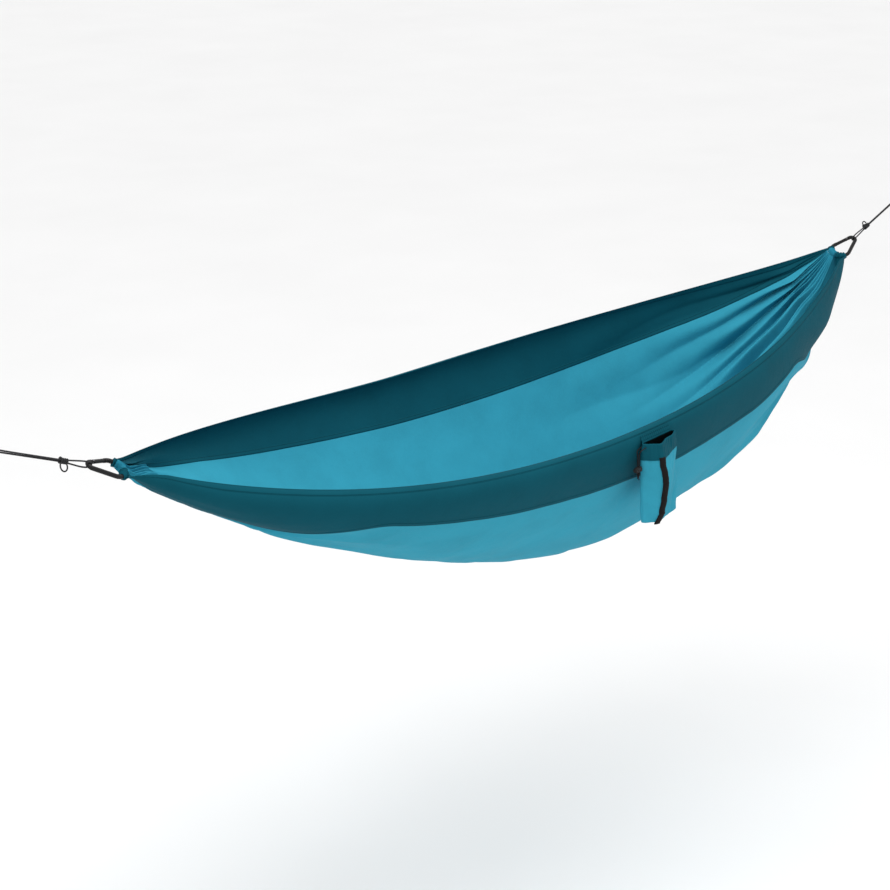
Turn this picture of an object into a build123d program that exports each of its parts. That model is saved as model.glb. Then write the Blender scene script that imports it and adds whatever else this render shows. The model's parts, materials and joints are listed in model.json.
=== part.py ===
"""Gathered-end camping hammock, hung between two trees: bed, end carabiners, ropes and sewn-on stuff pouch.

Millimetres. The origin is the hanging eye of the foot rope, +X runs level to the head rope's eye, +Z is up.
The pouch hangs on the -Y side. Soft pieces are plain shells of the true outer shape.
"""
from build123d import *
import os
from bisect import bisect_left
from math import asin, cos, degrees, hypot, pi, radians, sin, tan

# ---- bed: one gathered sheet, three panels, two felled seams and two hems ----
CHORD = 2464.0          # between the two gathered ends, level
HALF_WIDTH = 347.0      # hem to centre line, in plan, at the widest station
HEM_DROP = 147.0        # hems below the chord at their lowest
KEEL_DEPTH = 570.0      # centre line below the chord at the deepest station
END_HALF_WIDTH = 26.0   # the sheet where it is gathered on the carabiner
END_DEPTH = 30.0
WIDTH_SKEW = -0.165     # the widest station lies towards the foot
DROP_SKEW = -0.12
KEEL_SKEW = 0.135       # the deepest station lies towards the head
WIDTH_POWERS = (2.52, 0.97)     # fullness of each lengthwise curve
DROP_POWERS = (1.72, 0.74)
KEEL_POWERS = (1.77, 0.85)
FLOOR_FULLNESS = (0.62, 1.27)   # cross-section, at mid length and at the ends
SIDE_LEAN = (0.0, 0.43)
SIDE_BULGE = 0.26
CENTRE_SHARE = 0.760    # centre panel's share of the sheet's width
SHEET = 2.0             # stand-in thickness of a panel
SEAM = 3.4              # folded layers of a felled seam
HEM = 4.2               # rolled hem
SEAM_WIDTH = 14.0
HEM_WIDTH = 18.0
PANEL_GAP = 1.0         # between panel edges, inside the seam
GATHERED = 420.0        # narrower than this, seams and hems shrink with the sheet
PANEL_END = 0.985       # panels run into the gathered bundles here, as a share of the half length

# ---- carabiners: pear-shaped snap hooks ----
BAR = 10.0              # diameter of the steel bar
HOOK_LENGTH = 100.0     # overall
HOOK_WIDTH = 60.0       # overall, at the wide end
SMALL_END_RADIUS = 10.0     # centre line of the bar round the narrow end
GATE_ROD = 9.0
NOSE_STUB = 6.0         # straight bar left at the nose and at the gate's root
ROOT_STUB = 5.0
TONGUE = 3.2
TONGUE_HEIGHT = 7.0
NOSE_TONGUE = 4.0
FORK_CLEARANCE = 0.3
NOSE_GAP = 0.7
PIVOT_SETBACK = 5.4     # pivot from the shoulder of the bar
PIN = 3.0
PIN_RUNNING = 0.05
PIN_HEAD = 4.6
PIN_HEAD_HEIGHT = 0.5
SPRING_BORE = 4.4
SPRING_WIRE = 0.6
SPRING_TURNS = 7
SPRING_LENGTH = 12.0
PLUNGER = 4.0
PLUNGER_LENGTH = 8.0
HOOK_ROLL = {"foot": 27.0, "head": 17.0}    # out of level, about the hook's own length
HOOK_BELOW = 20.0       # its wide end, below the ends of the hems

# ---- ropes: each is one cord, doubled from its hanging eye to the carabiner ----
ROPE = 3.5
ROPE_SLOPE = 21.5       # above level, degrees
ROPE_REACH = 300.0      # narrow end of the carabiner to the hanging eye
ROPE_GAP = 0.8          # left for the carabiner to swing in the loop
LOOP_HALF_WIDTH = 10.5
KNOT_AT = 63.0          # loop knot, from the narrow end of the carabiner
KNOT_LENGTH = 24.0
KNOT_WIDTH = 16.0
EYE_HALF_LENGTH = 17.0
EYE_HALF_WIDTH = 12.0

# ---- gathered channel round the wide end of each carabiner ----
SLEEVE = 23.0           # outer diameter of the bunched sheet
SLEEVE_BORE_GAP = 0.5
SLEEVE_SWEEP = 66.0     # each way round the wide end, degrees
BUNDLE_HALF_THICKNESS = 10.0

# ---- stuff pouch, sewn to the near side panel below its hem ----
POUCH_AT = 27.0         # along X from mid length
POUCH_BELOW = 24.0      # its mouth below the hem
POUCH_HEIGHT = 202.0
POUCH_LEVELS = (0.0, 0.16, 0.50, 0.86, 1.0)     # shares of the height, from the mouth down
POUCH_WIDTHS = (118.0, 130.0, 132.0, 130.0, 122.0)
POUCH_DEPTHS = (40.0, 47.0, 56.0, 48.0, 30.0)   # back to the front ridge
RIDGE_AT = -34.0        # the front stands out in one ridge, here along X
POUCH_CORNER = 8.0
POUCH_WALL = 2.0
POUCH_CLEARANCE = 3.0   # behind the pouch, from the bed
BAND_HEIGHT = 36.0      # mouth band that holds the drawcord
STRAP_WIDTH = 15.0
STRAP = 1.6
DRAWCORD = 2.4
DRAWCORD_BELOW = 8.0    # its way out of the band, below the mouth
DRAWCORD_BACK = 10.0    # from the pouch's back
DRAWCORD_OUT = 22.0     # from the band to the hanging cord
DRAWCORD_DROP = 62.0
CORD_MOUTH = 11.0       # between the two legs where they leave the band
CORD_PAIR = 4.0         # and where they hang through the lock
CORD_SLOT_DEPTH = 16.0
END_KNOT = 9.0
LOCK_LENGTH = 15.0
LOCK_WIDTH = 14.0
LOCK_ROUND = 1.2
LOCK_FLOOR = 1.5
LOCK_ABOVE_KNOT = 6.0
LOCK_TRAVEL = 24.0
LOCK_SPRING_TURNS = 4
BUTTON = 10.6
BUTTON_WEB = 1.2
BUTTON_RUNNING = 0.1
BUTTON_PROUD = 4.5
BUTTON_TRAVEL = 3.0
CORD_CLEARANCE = 0.3

STATIONS = 8            # each side of mid length
HALF = CHORD / 2
SLOPE = radians(ROPE_SLOPE)
HOOK_LINE = HOOK_LENGTH - BAR           # centre line, end to end
WIDE_RADIUS = (HOOK_WIDTH - BAR) / 2
MID_X = (ROPE_REACH + HOOK_LINE) * cos(SLOPE) + HALF
CHORD_Z = HOOK_BELOW - (ROPE_REACH + HOOK_LINE) * sin(SLOPE)
SWING_Z = -ROPE_REACH * sin(SLOPE)


def swell(s, powers, skew):
    """A lengthwise curve from 0 at both ends to 1, at station s from -1 to 1."""
    shifted = s - skew * (1 - s * s)
    return max(0.0, 1 - abs(shifted) ** powers[0]) ** powers[1]


def section(s):
    """Half cross-section at station s as four Bezier poles (out from the centre line, below the chord)."""
    half_width = END_HALF_WIDTH + (HALF_WIDTH - END_HALF_WIDTH) * swell(s, WIDTH_POWERS, WIDTH_SKEW)
    hem = HEM_DROP * swell(s, DROP_POWERS, DROP_SKEW)
    keel = END_DEPTH + (KEEL_DEPTH - END_DEPTH) * swell(s, KEEL_POWERS, KEEL_SKEW)
    end = s * s
    floor = FLOOR_FULLNESS[0] + (FLOOR_FULLNESS[1] - FLOOR_FULLNESS[0]) * end
    lean = SIDE_LEAN[0] + (SIDE_LEAN[1] - SIDE_LEAN[0]) * end
    return (
        (0.0, keel),
        (floor * half_width, keel),
        ((1 + SIDE_BULGE) * half_width, hem + lean * (keel - hem)),
        (half_width, hem),
    )


def bezier(poles, t):
    weights = ((1 - t) ** 3, 3 * t * (1 - t) ** 2, 3 * t * t * (1 - t), t ** 3)
    return tuple(sum(w * p[i] for w, p in zip(weights, poles)) for i in (0, 1))


def traced(s, steps=80):
    """Points down the half cross-section and the width of sheet from the keel to each."""
    points = [bezier(section(s), i / steps) for i in range(steps + 1)]
    widths = [0.0]
    for a, b in zip(points, points[1:]):
        widths.append(widths[-1] + hypot(b[0] - a[0], b[1] - a[1]))
    return points, widths


def half_girth(s):
    return traced(s)[1][-1]


def bed_point(s, across):
    """Mid-surface point at station s; across runs from -1 at the near hem to 1 at the far hem."""
    points, widths = traced(s)
    target = min(abs(across), 1.0) * widths[-1]
    i = min(max(bisect_left(widths, target), 1), len(widths) - 1)
    share = (target - widths[i - 1]) / (widths[i] - widths[i - 1])
    out = points[i - 1][0] + share * (points[i][0] - points[i - 1][0])
    below = points[i - 1][1] + share * (points[i][1] - points[i - 1][1])
    side = 1 if across >= 0 else -1
    return Vector(MID_X + s * HALF, side * out, CHORD_Z - below)


def bed_normal(s, across, step=0.004):
    """Outward, away from the sleeper."""
    s0, s1 = max(s - step, -1.0), min(s + step, 1.0)
    a0, a1 = max(across - step, -1.0), min(across + step, 1.0)
    along = bed_point(s1, across) - bed_point(s0, across)
    over = bed_point(s, a1) - bed_point(s, a0)
    return over.cross(along).normalized()


def shrink(s):
    return min(1.0, 2 * half_girth(s) / GATHERED)


def strip(low, high, thickness, rows):
    """A lengthwise strip of the bed between two edges, each a function of the station."""
    grid = []
    for i in range(-STATIONS, STATIONS + 1):
        s = PANEL_END * sin(pi / 2 * i / STATIONS)
        a, b = low(s), high(s)
        row = []
        for j in range(rows):
            across = a + (b - a) * j / (rows - 1)
            row.append(bed_point(s, across) - bed_normal(s, across) * (thickness / 2))
        grid.append(row)
    face = Face.make_surface_from_array_of_points(grid)
    outward = bed_normal(0, (low(0) + high(0)) / 2)
    sign = 1 if face.normal_at(0.5, 0.5).dot(outward) > 0 else -1
    return Solid.thicken(face, sign * thickness)


def edge_at(share, offset, side=1):
    """Edge at a share of the half sheet, moved out by an offset in mm that shrinks with the gather."""
    return lambda s: side * (share + offset * shrink(s) / half_girth(s))


def bed_strips():
    seam = SEAM_WIDTH / 2
    gap = PANEL_GAP / 2
    pieces = {
        "centre_panel": strip(edge_at(CENTRE_SHARE, -gap, -1), edge_at(CENTRE_SHARE, -gap), SHEET, 13)
    }
    for name, side in (("near", -1), ("far", 1)):
        inner, outer = edge_at(CENTRE_SHARE, gap, side), edge_at(1, -PANEL_GAP, side)
        pieces[name + "_side_panel"] = strip(inner, outer, SHEET, 6)
        pieces[name + "_seam"] = strip(
            edge_at(CENTRE_SHARE, -seam, side), edge_at(CENTRE_SHARE, seam, side), SEAM, 4
        )
        pieces[name + "_hem"] = strip(edge_at(1, -HEM_WIDTH, side), edge_at(1, 0, side), HEM, 4)
    return pieces


class End:
    """One end of the hammock: directions of its rope and carabiner, and where they are."""

    def __init__(self, name):
        self.name = name
        self.towards = -1 if name == "foot" else 1
        roll = radians(HOOK_ROLL[name])
        self.along = Vector(self.towards * cos(SLOPE), 0, sin(SLOPE))
        lift = Vector(-self.towards * sin(SLOPE), 0, cos(SLOPE))
        self.across = Vector(0, cos(roll), 0) + lift * sin(roll)
        self.normal = self.along.cross(self.across)
        self.wide = Vector(MID_X + self.towards * HALF, 0, CHORD_Z - HOOK_BELOW)
        self.narrow = self.wide + self.along * HOOK_LINE
        self.eye = self.narrow + self.along * ROPE_REACH
        arc_centre = self.wide + self.along * WIDE_RADIUS
        self.hook_plane = Plane(origin=arc_centre, x_dir=self.along, z_dir=self.normal)

    def rope_point(self, along, over):
        return self.narrow + self.along * along + self.normal * over


# the carabiner's own plane: X to the narrow end, +Y the gate's side, the wide arc's centre at 0
ARC_SPAN = HOOK_LINE - WIDE_RADIUS - SMALL_END_RADIUS
FLARE = asin((WIDE_RADIUS - SMALL_END_RADIUS) / ARC_SPAN)
WIDE_TANGENT = Vector(WIDE_RADIUS * sin(FLARE), WIDE_RADIUS * cos(FLARE))
NARROW_TANGENT = Vector(ARC_SPAN + SMALL_END_RADIUS * sin(FLARE), SMALL_END_RADIUS * cos(FLARE))
GATE_DIRECTION = (NARROW_TANGENT - WIDE_TANGENT).normalized()
GATE_SPAN = (NARROW_TANGENT - WIDE_TANGENT).length
NOSE = WIDE_TANGENT + GATE_DIRECTION * NOSE_STUB
ROOT = NARROW_TANGENT - GATE_DIRECTION * ROOT_STUB
PIVOT = ROOT - GATE_DIRECTION * PIVOT_SETBACK
GATE_PLANE = Plane(origin=NOSE, x_dir=GATE_DIRECTION, z_dir=(0, 0, 1))
PIVOT_X = (PIVOT - NOSE).length
ROOT_X = (ROOT - NOSE).length


def rod_x(radius, start, end):
    return Pos((start + end) / 2, 0, 0) * Rot(0, 90, 0) * Cylinder(radius, end - start)


def mirrored(v):
    return Vector(v.X, -v.Y)


def hook_body():
    wide_mid = Vector(-WIDE_RADIUS, 0)
    narrow_mid = Vector(ARC_SPAN + SMALL_END_RADIUS, 0)
    path = (
        Line(NOSE, WIDE_TANGENT)
        + ThreePointArc(WIDE_TANGENT, wide_mid, mirrored(WIDE_TANGENT))
        + Line(mirrored(WIDE_TANGENT), mirrored(NARROW_TANGENT))
        + ThreePointArc(mirrored(NARROW_TANGENT), narrow_mid, NARROW_TANGENT)
        + Line(NARROW_TANGENT, ROOT)
    )
    start = Plane(origin=NOSE, z_dir=WIDE_TANGENT - NOSE)
    bar = sweep(start * Circle(BAR / 2), path)
    nose = Pos(NOSE_TONGUE / 2 - 1, 0, 0) * Box(NOSE_TONGUE + 2, TONGUE_HEIGHT, TONGUE)
    root = Pos(ROOT_X - PIVOT_SETBACK / 2 + 1, 0, 0) * Box(PIVOT_SETBACK + 2, TONGUE_HEIGHT, TONGUE)
    root += Pos(PIVOT_X, 0, 0) * Cylinder(TONGUE_HEIGHT / 2, TONGUE)
    root -= Pos(PIVOT_X, 0, 0) * Cylinder(PIN / 2, 2 * TONGUE)
    return bar + GATE_PLANE * nose + GATE_PLANE * root


def hook_gate():
    radius = GATE_ROD / 2
    slot = TONGUE + 2 * FORK_CLEARANCE
    rod = rod_x(radius, NOSE_GAP, PIVOT_X)
    rod += rod_x(radius, PIVOT_X - 1, PIVOT_X + radius) & (Pos(PIVOT_X, 0, 0) * Cylinder(radius, GATE_ROD))
    nose_slot = NOSE_TONGUE + 1 - NOSE_GAP
    rod -= Pos(NOSE_GAP + nose_slot / 2 - 1, 0, 0) * Box(nose_slot + 2, 2 * GATE_ROD, slot)
    fork_from = PIVOT_X - TONGUE_HEIGHT / 2 - 1
    fork_to = PIVOT_X + GATE_ROD
    rod -= Pos((fork_from + fork_to) / 2, 0, 0) * Box(fork_to - fork_from, 2 * GATE_ROD, slot)
    bore_from = fork_from - SPRING_LENGTH - PLUNGER_LENGTH
    rod -= rod_x(SPRING_BORE / 2, bore_from, PIVOT_X)
    rod -= Pos(PIVOT_X, 0, 0) * Cylinder(PIN / 2 + PIN_RUNNING, 2 * GATE_ROD)
    return GATE_PLANE * rod


def hook_pin():
    length = GATE_ROD + 2 * PIN_RUNNING
    pin = Pos(PIVOT_X, 0, 0) * Cylinder(PIN / 2, length)
    for side in (-1, 1):
        head_z = side * (length + PIN_HEAD_HEIGHT) / 2
        pin += Pos(PIVOT_X, 0, head_z) * Cylinder(PIN_HEAD / 2, PIN_HEAD_HEIGHT)
    return GATE_PLANE * pin


def hook_spring_seat():
    """Where the plunger's tip meets the root tongue, along the gate."""
    return PIVOT_X - TONGUE_HEIGHT / 2 - 2 * PIN_RUNNING


def hook_plunger():
    tip = hook_spring_seat()
    return GATE_PLANE * rod_x(PLUNGER / 2, tip - PLUNGER_LENGTH, tip)


def hook_spring():
    end = hook_spring_seat() - PLUNGER_LENGTH - PIN_RUNNING
    length = SPRING_LENGTH - 2 * SPRING_WIRE
    radius = (SPRING_BORE - SPRING_WIRE) / 2 - PIN_RUNNING
    helix = Helix(pitch=length / SPRING_TURNS, height=length, radius=radius)
    wire = sweep(Plane(origin=helix @ 0, z_dir=helix % 0) * Circle(SPRING_WIRE / 2), helix, is_frenet=True)
    coil = Pos(end - SPRING_WIRE, 0, 0) * Rot(0, -90, 0) * wire
    return GATE_PLANE * coil


def corner_radii(points, limits=None):
    """0.45 of the shorter run at each corner, or the size of the thing the cord goes round."""
    radii = []
    for i in range(1, len(points) - 1):
        before, after = points[i] - points[i - 1], points[i + 1] - points[i]
        turn = radians(before.get_angle(after))
        radius = 0.45 * min(before.length, after.length) / tan(turn / 2)
        limit = (limits or {}).get(i)
        radii.append(min(radius, limit) if limit else radius)
    return radii


def tube(name, points, diameter, limits=None):
    radii = corner_radii(points, limits)
    path = FilletPolyline(*points, radius=radii)
    start = Plane(origin=points[0], z_dir=points[1] - points[0])
    solid = sweep(start * Circle(diameter / 2), path)
    expected = pi * diameter ** 2 / 4 * path.length
    share = solid.volume / expected
    print(name, "length", round(path.length, 1), "volume share", round(share, 4))
    print(name, "radii", [round(r, 1) for r in radii])
    return solid


def rope_route(end):
    """From the eye knot to the carabiner, round its bar, back, and round the hanging eye."""
    turn = BAR / 2 + ROPE_GAP + ROPE / 2
    beside = ROPE / 2 + 0.3
    knot = KNOT_AT
    eye = ROPE_REACH
    eye_knot = eye - EYE_HALF_LENGTH - KNOT_LENGTH / 2
    route = (
        (eye_knot, beside + 0.3),
        (knot, beside),
        (-turn, LOOP_HALF_WIDTH),
        (-turn, -LOOP_HALF_WIDTH),
        (knot, -beside),
        (eye_knot, -beside - 0.3),
        (eye - EYE_HALF_LENGTH * 0.6, -EYE_HALF_WIDTH),
        (eye + EYE_HALF_LENGTH, -EYE_HALF_WIDTH),
        (eye + EYE_HALF_LENGTH, EYE_HALF_WIDTH),
        (eye - EYE_HALF_LENGTH * 0.6, EYE_HALF_WIDTH),
        (eye_knot + KNOT_LENGTH / 3, beside),
    )
    return [end.rope_point(*p) for p in route], {2: turn, 3: turn}


def knot(end, at):
    barrel = Cylinder(KNOT_WIDTH / 2, KNOT_LENGTH)
    barrel = fillet(barrel.edges(), KNOT_WIDTH * 0.35)
    return Plane(origin=end.rope_point(at, 0), z_dir=end.along) * barrel


def channel(end):
    """The bunched sheet: a sleeve round the wide end of the carabiner and the bundle that leads to it."""
    sweep_angle = radians(SLEEVE_SWEEP)
    arc_from = Vector(-WIDE_RADIUS * cos(sweep_angle), WIDE_RADIUS * sin(sweep_angle))
    arc = ThreePointArc(arc_from, (-WIDE_RADIUS, 0), mirrored(arc_from))
    start = Plane(origin=arc @ 0, z_dir=arc % 0)
    sleeve = end.hook_plane * sweep(start * Circle(SLEEVE / 2), arc)
    bore = end.hook_plane * Torus(WIDE_RADIUS, BAR / 2 + SLEEVE_BORE_GAP)
    inner = Ellipse(WIDE_RADIUS + 4, BUNDLE_HALF_THICKNESS)
    near_hook = Plane(origin=end.wide, x_dir=end.across, z_dir=end.along)
    s = end.towards * (PANEL_END - 0.006)
    half_width, hem = section(s)[3]
    keel = section(s)[0][1]
    middle = (hem + keel) / 2
    at = Vector(MID_X + s * HALF, 0, CHORD_Z - middle)
    outer = Ellipse(half_width + HEM, (keel - hem) / 2 + HEM)
    bed_end = Plane(origin=at, x_dir=(0, 1, 0), z_dir=(end.towards, 0, 0))
    bundle = loft([near_hook * inner, bed_end * outer])
    return sleeve + bundle - bore


class PouchFrame:
    """The pouch's own axes: X along the hem, -Y away from the bed, Z up, and 0 at the mouth's level."""

    def __init__(self):
        self.station = POUCH_AT / HALF
        before, after = bed_point(self.station - 0.04, -1), bed_point(self.station + 0.04, -1)
        along = (after - before).normalized()
        up = (Vector(0, 0, 1) - along * along.Z).normalized()
        mouth = bed_point(self.station, -1) - up * POUCH_BELOW
        self.plane = Plane(origin=mouth, x_dir=along, z_dir=up)

    def back(self, below):
        """How far out the pouch's back stands at a depth below the mouth."""
        points, _ = traced(self.station)
        hem_out, hem_below = points[-1]
        deepest = hem_below + POUCH_BELOW + below
        return max(out for out, depth in points if depth <= deepest) - hem_out + POUCH_CLEARANCE


def pouch_solid(frame, grow, above=0.0):
    """The pouch's outside grown by an offset, up to a height above its mouth."""
    sections = []
    for share, width, depth in zip(POUCH_LEVELS, POUCH_WIDTHS, POUCH_DEPTHS):
        below = share * POUCH_HEIGHT
        z = {0.0: above, 1.0: -below - grow}.get(share, -below)
        ends = width / 2 - POUCH_CORNER
        middle = Polygon(
            (-ends, -POUCH_CORNER), (ends, -POUCH_CORNER), (RIDGE_AT, POUCH_CORNER - depth), align=None
        )
        outline = offset(middle, POUCH_CORNER + grow)
        sections.append(Pos(0, -frame.back(below), z) * outline)
    return loft(sections)


def half_space(z, above):
    size = 4 * POUCH_HEIGHT
    return Pos(0, 0, z + (size / 2 if above else -size / 2)) * Box(size, size, size)


def cord_slot(frame):
    """Where the drawcord's two legs leave the mouth band."""
    long = CORD_MOUTH + DRAWCORD + 2 * CORD_CLEARANCE
    wide = DRAWCORD + 2 * CORD_CLEARANCE
    x, y, z = drawcord_exit(frame)
    return Pos(x, y, z) * Box(2 * CORD_SLOT_DEPTH, long, wide)


def pouch_parts(frame):
    outside = pouch_solid(frame, 0)
    shell = outside - pouch_solid(frame, -POUCH_WALL, above=POUCH_WALL)
    band = (shell & half_space(-BAND_HEIGHT, True)) - cord_slot(frame)
    body = shell & half_space(-BAND_HEIGHT, False)
    skin = pouch_solid(frame, STRAP, above=POUCH_WALL) - outside
    front = -frame.back(0) - POUCH_DEPTHS[-1] / 2
    reach = 2 * POUCH_DEPTHS[2]
    lane = Pos(RIDGE_AT, front - reach / 2, -BAND_HEIGHT - POUCH_HEIGHT / 2)
    strap = skin & lane * Box(STRAP_WIDTH, reach, POUCH_HEIGHT)
    parts = {"pouch_body": body, "pouch_mouth_band": band, "pouch_strap": strap}
    return {name: frame.plane * piece for name, piece in parts.items()}


def drawcord_exit(frame):
    return -POUCH_WIDTHS[0] / 2, -frame.back(0) - DRAWCORD_BACK, -DRAWCORD_BELOW


def drawcord_end(frame):
    """Middle of the end knot, below the two hanging legs."""
    x, y, z = drawcord_exit(frame)
    return Vector(x - DRAWCORD_OUT, y, z - DRAWCORD_DROP)


def drawcord_route(frame):
    x, y, z = drawcord_exit(frame)
    end = drawcord_end(frame)
    paired = end.Z + LOCK_ABOVE_KNOT + LOCK_WIDTH + LOCK_TRAVEL + DRAWCORD
    start = x + CORD_SLOT_DEPTH - DRAWCORD
    near = (
        (start, CORD_MOUTH / 2, z),
        (end.X, CORD_MOUTH / 2, z),
        (end.X, CORD_PAIR / 2, paired),
        (end.X, CORD_PAIR / 2, end.Z),
    )
    far = [(px, -out, pz) for px, out, pz in reversed(near)]
    local = [Vector(px, y - out, pz) for px, out, pz in (*near, *far)]
    return [frame.plane.from_local_coords(p) for p in local], {1: 6.0, 6: 6.0}


def cord_lock(frame):
    """Barrel across the two cords, a sprung button in its bore, and the spring behind it."""
    centre = drawcord_end(frame) + Vector(0, 0, LOCK_ABOVE_KNOT + LOCK_WIDTH / 2)
    half_cord = DRAWCORD / 2 + CORD_CLEARANCE
    pass_y = CORD_PAIR + 2 * half_cord
    floor = LOCK_LENGTH / 2 - LOCK_FLOOR
    barrel = rod_x(LOCK_WIDTH / 2, -LOCK_LENGTH / 2, LOCK_LENGTH / 2)
    barrel = fillet(barrel.edges(), LOCK_ROUND)
    barrel -= rod_x(BUTTON / 2 + BUTTON_RUNNING, -LOCK_LENGTH, floor)
    barrel -= Box(2 * half_cord, pass_y, 2 * LOCK_WIDTH)
    button_end = half_cord + BUTTON_WEB
    slot = BUTTON_TRAVEL + 2 * half_cord
    button = rod_x(BUTTON / 2, -LOCK_LENGTH / 2 - BUTTON_PROUD, button_end)
    button -= Pos(half_cord - slot / 2, 0, 0) * Box(slot, pass_y, 2 * LOCK_WIDTH)
    spring_from, spring_to = button_end + BUTTON_RUNNING, floor - BUTTON_RUNNING
    length = spring_to - spring_from - SPRING_WIRE
    helix = Helix(pitch=length / LOCK_SPRING_TURNS, height=length, radius=BUTTON / 2 - 2 * SPRING_WIRE)
    wire = sweep(Plane(origin=helix @ 0, z_dir=helix % 0) * Circle(SPRING_WIRE / 2), helix, is_frenet=True)
    spring = Pos(spring_from + SPRING_WIRE / 2, 0, 0) * Rot(0, 90, 0) * wire
    parts = {"cord_lock_barrel": barrel, "cord_lock_button": button, "cord_lock_spring": spring}
    return {name: frame.plane * Pos(*centre) * piece for name, piece in parts.items()}


def all_parts():
    parts = bed_strips()
    for name in ("foot", "head"):
        end = End(name)
        parts[name + "_channel"] = channel(end)
        parts[name + "_carabiner_body"] = end.hook_plane * hook_body()
        parts[name + "_carabiner_gate"] = end.hook_plane * hook_gate()
        parts[name + "_gate_pin"] = end.hook_plane * hook_pin()
        parts[name + "_gate_plunger"] = end.hook_plane * hook_plunger()
        parts[name + "_gate_spring"] = end.hook_plane * hook_spring()
        route, limits = rope_route(end)
        parts[name + "_rope"] = tube(name + "_rope", route, ROPE, limits)
        parts[name + "_loop_knot"] = knot(end, KNOT_AT)
        parts[name + "_eye_knot"] = knot(end, ROPE_REACH - EYE_HALF_LENGTH - KNOT_LENGTH / 2)
    frame = PouchFrame()
    parts.update(pouch_parts(frame))
    route, limits = drawcord_route(frame)
    parts["drawcord"] = tube("drawcord", route, DRAWCORD, limits)
    parts["drawcord_knot"] = frame.plane * Pos(*drawcord_end(frame)) * Sphere(END_KNOT / 2)
    parts.update(cord_lock(frame))
    return parts


def main():
    os.makedirs("parts", exist_ok=True)
    for name, piece in all_parts().items():
        piece.label = name
        export_step(piece, f"parts/{name}.step")


main()
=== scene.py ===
"""Looks of the gathered-end camping hammock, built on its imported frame. Metres; the frame's own axes."""
import bpy
import json
import math
import numpy as np
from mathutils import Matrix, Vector


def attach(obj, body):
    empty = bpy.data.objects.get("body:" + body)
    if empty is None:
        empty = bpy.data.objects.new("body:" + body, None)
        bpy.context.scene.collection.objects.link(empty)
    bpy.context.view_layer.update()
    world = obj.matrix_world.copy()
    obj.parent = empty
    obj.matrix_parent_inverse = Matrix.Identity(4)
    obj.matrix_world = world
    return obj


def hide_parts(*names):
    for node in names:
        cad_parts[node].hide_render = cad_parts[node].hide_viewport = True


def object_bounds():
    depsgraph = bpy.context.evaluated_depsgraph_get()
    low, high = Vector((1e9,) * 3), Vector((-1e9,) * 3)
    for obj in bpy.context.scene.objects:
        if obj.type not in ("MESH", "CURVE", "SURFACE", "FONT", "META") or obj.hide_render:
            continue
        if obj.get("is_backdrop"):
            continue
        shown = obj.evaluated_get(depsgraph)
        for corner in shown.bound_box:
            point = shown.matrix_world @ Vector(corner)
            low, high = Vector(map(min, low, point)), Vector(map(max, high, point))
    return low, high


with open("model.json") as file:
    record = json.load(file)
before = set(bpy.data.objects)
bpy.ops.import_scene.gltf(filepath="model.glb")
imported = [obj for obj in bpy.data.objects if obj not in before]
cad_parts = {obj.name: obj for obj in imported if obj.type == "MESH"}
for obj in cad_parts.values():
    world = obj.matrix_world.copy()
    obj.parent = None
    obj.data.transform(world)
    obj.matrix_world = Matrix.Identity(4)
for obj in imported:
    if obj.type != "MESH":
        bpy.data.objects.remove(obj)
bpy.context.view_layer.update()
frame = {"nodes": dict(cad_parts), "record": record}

# ---- the bed's shape, as in the CAD source, apart from SEAM_WIDTH, which is 2 mm less ----
CHORD = 2.464
HALF_WIDTH, HEM_DROP, KEEL_DEPTH = 0.347, 0.147, 0.570
END_HALF_WIDTH, END_DEPTH = 0.026, 0.030
WIDTH_SKEW, DROP_SKEW, KEEL_SKEW = -0.165, -0.12, 0.135
WIDTH_POWERS, DROP_POWERS, KEEL_POWERS = (2.52, 0.97), (1.72, 0.74), (1.77, 0.85)
FLOOR_FULLNESS, SIDE_LEAN, SIDE_BULGE = (0.62, 1.27), (0.0, 0.43), 0.26
CENTRE_SHARE = 0.760                        # of the half sheet, from the keel to the seam
HEM_WIDTH, SEAM_WIDTH = 0.018, 0.012
FLAT_WIDTH, FLAT_LENGTH = 1.22, 2.70        # the whole sheet as cut, round figures

# ---- ropes and carabiners ----
BAR, HOOK_LENGTH, HOOK_WIDTH, HOOK_BELOW = 0.010, 0.100, 0.060, 0.020
HOOK_ROLL = {"foot": 27.0, "head": 17.0}
ROPE, ROPE_SLOPE, ROPE_REACH, ROPE_GAP = 0.0035, 21.5, 0.300, 0.0008
ROPE_LENGTH, DRAWCORD_LENGTH = 0.674, 0.193     # of cord in the modelled, doubled line
LOOP_HALF_WIDTH, KNOT_AT, KNOT_LENGTH = 0.0105, 0.063, 0.024
EYE_HALF_LENGTH, EYE_HALF_WIDTH = 0.017, 0.012
SLEEVE_SWEEP = 66.0

# ---- stuff pouch ----
POUCH_AT, POUCH_BELOW, POUCH_HEIGHT, POUCH_CLEARANCE = 0.027, 0.024, 0.202, 0.003
POUCH_LEVELS = (0.0, 0.16, 0.50, 0.86, 1.0)
POUCH_WIDTHS = (0.118, 0.130, 0.132, 0.130, 0.122)
POUCH_DEPTHS = (0.040, 0.047, 0.056, 0.048, 0.030)
RIDGE_AT, POUCH_CORNER, BAND_HEIGHT, STRAP_WIDTH = -0.034, 0.008, 0.036, 0.015
DRAWCORD, DRAWCORD_BELOW, DRAWCORD_BACK, DRAWCORD_OUT = 0.0024, 0.008, 0.010, 0.022
DRAWCORD_DROP, CORD_MOUTH, CORD_PAIR, CORD_SLOT_DEPTH = 0.062, 0.011, 0.004, 0.016
LOCK_WIDTH, LOCK_ABOVE_KNOT, LOCK_TRAVEL = 0.014, 0.006, 0.024

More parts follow.
